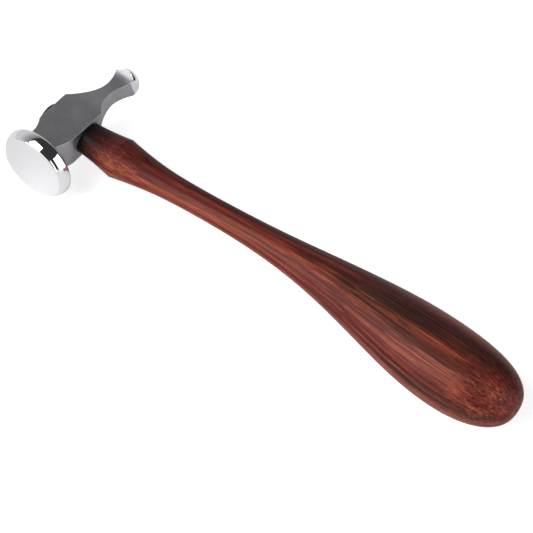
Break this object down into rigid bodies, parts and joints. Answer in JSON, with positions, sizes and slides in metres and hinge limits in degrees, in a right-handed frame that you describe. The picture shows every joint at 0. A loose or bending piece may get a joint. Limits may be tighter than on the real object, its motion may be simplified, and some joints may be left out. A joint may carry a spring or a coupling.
{
  "type": "ball peen hammer",
  "caption": "Jeweller's chasing hammer with a broad polished striking face, a small ball peen and a slim wooden handle that swells to a bulb.",
  "frame": {"origin": "centre of the round striking face", "axes": "+X straight out of the striking face, +Y along the handle from the head to the butt, +Z square to the head's flat cheeks"},
  "size_m": [0.0657, 0.2332, 0.032],
  "materials": {
    "forged_steel": "satin forged body with mirror-polished disc and ball",
    "handle_wood": "oiled dark red-brown hardwood, satin",
    "wedge_wood": "bare pale hardwood end grain",
    "wedge_steel": "plain, hammered in"
  },
  "bodies": {
    "root": {"head": "forged_steel", "handle": "handle_wood", "wooden_wedge": "wedge_wood", "steel_wedge": "wedge_steel"}
  },
  "joints": []
}
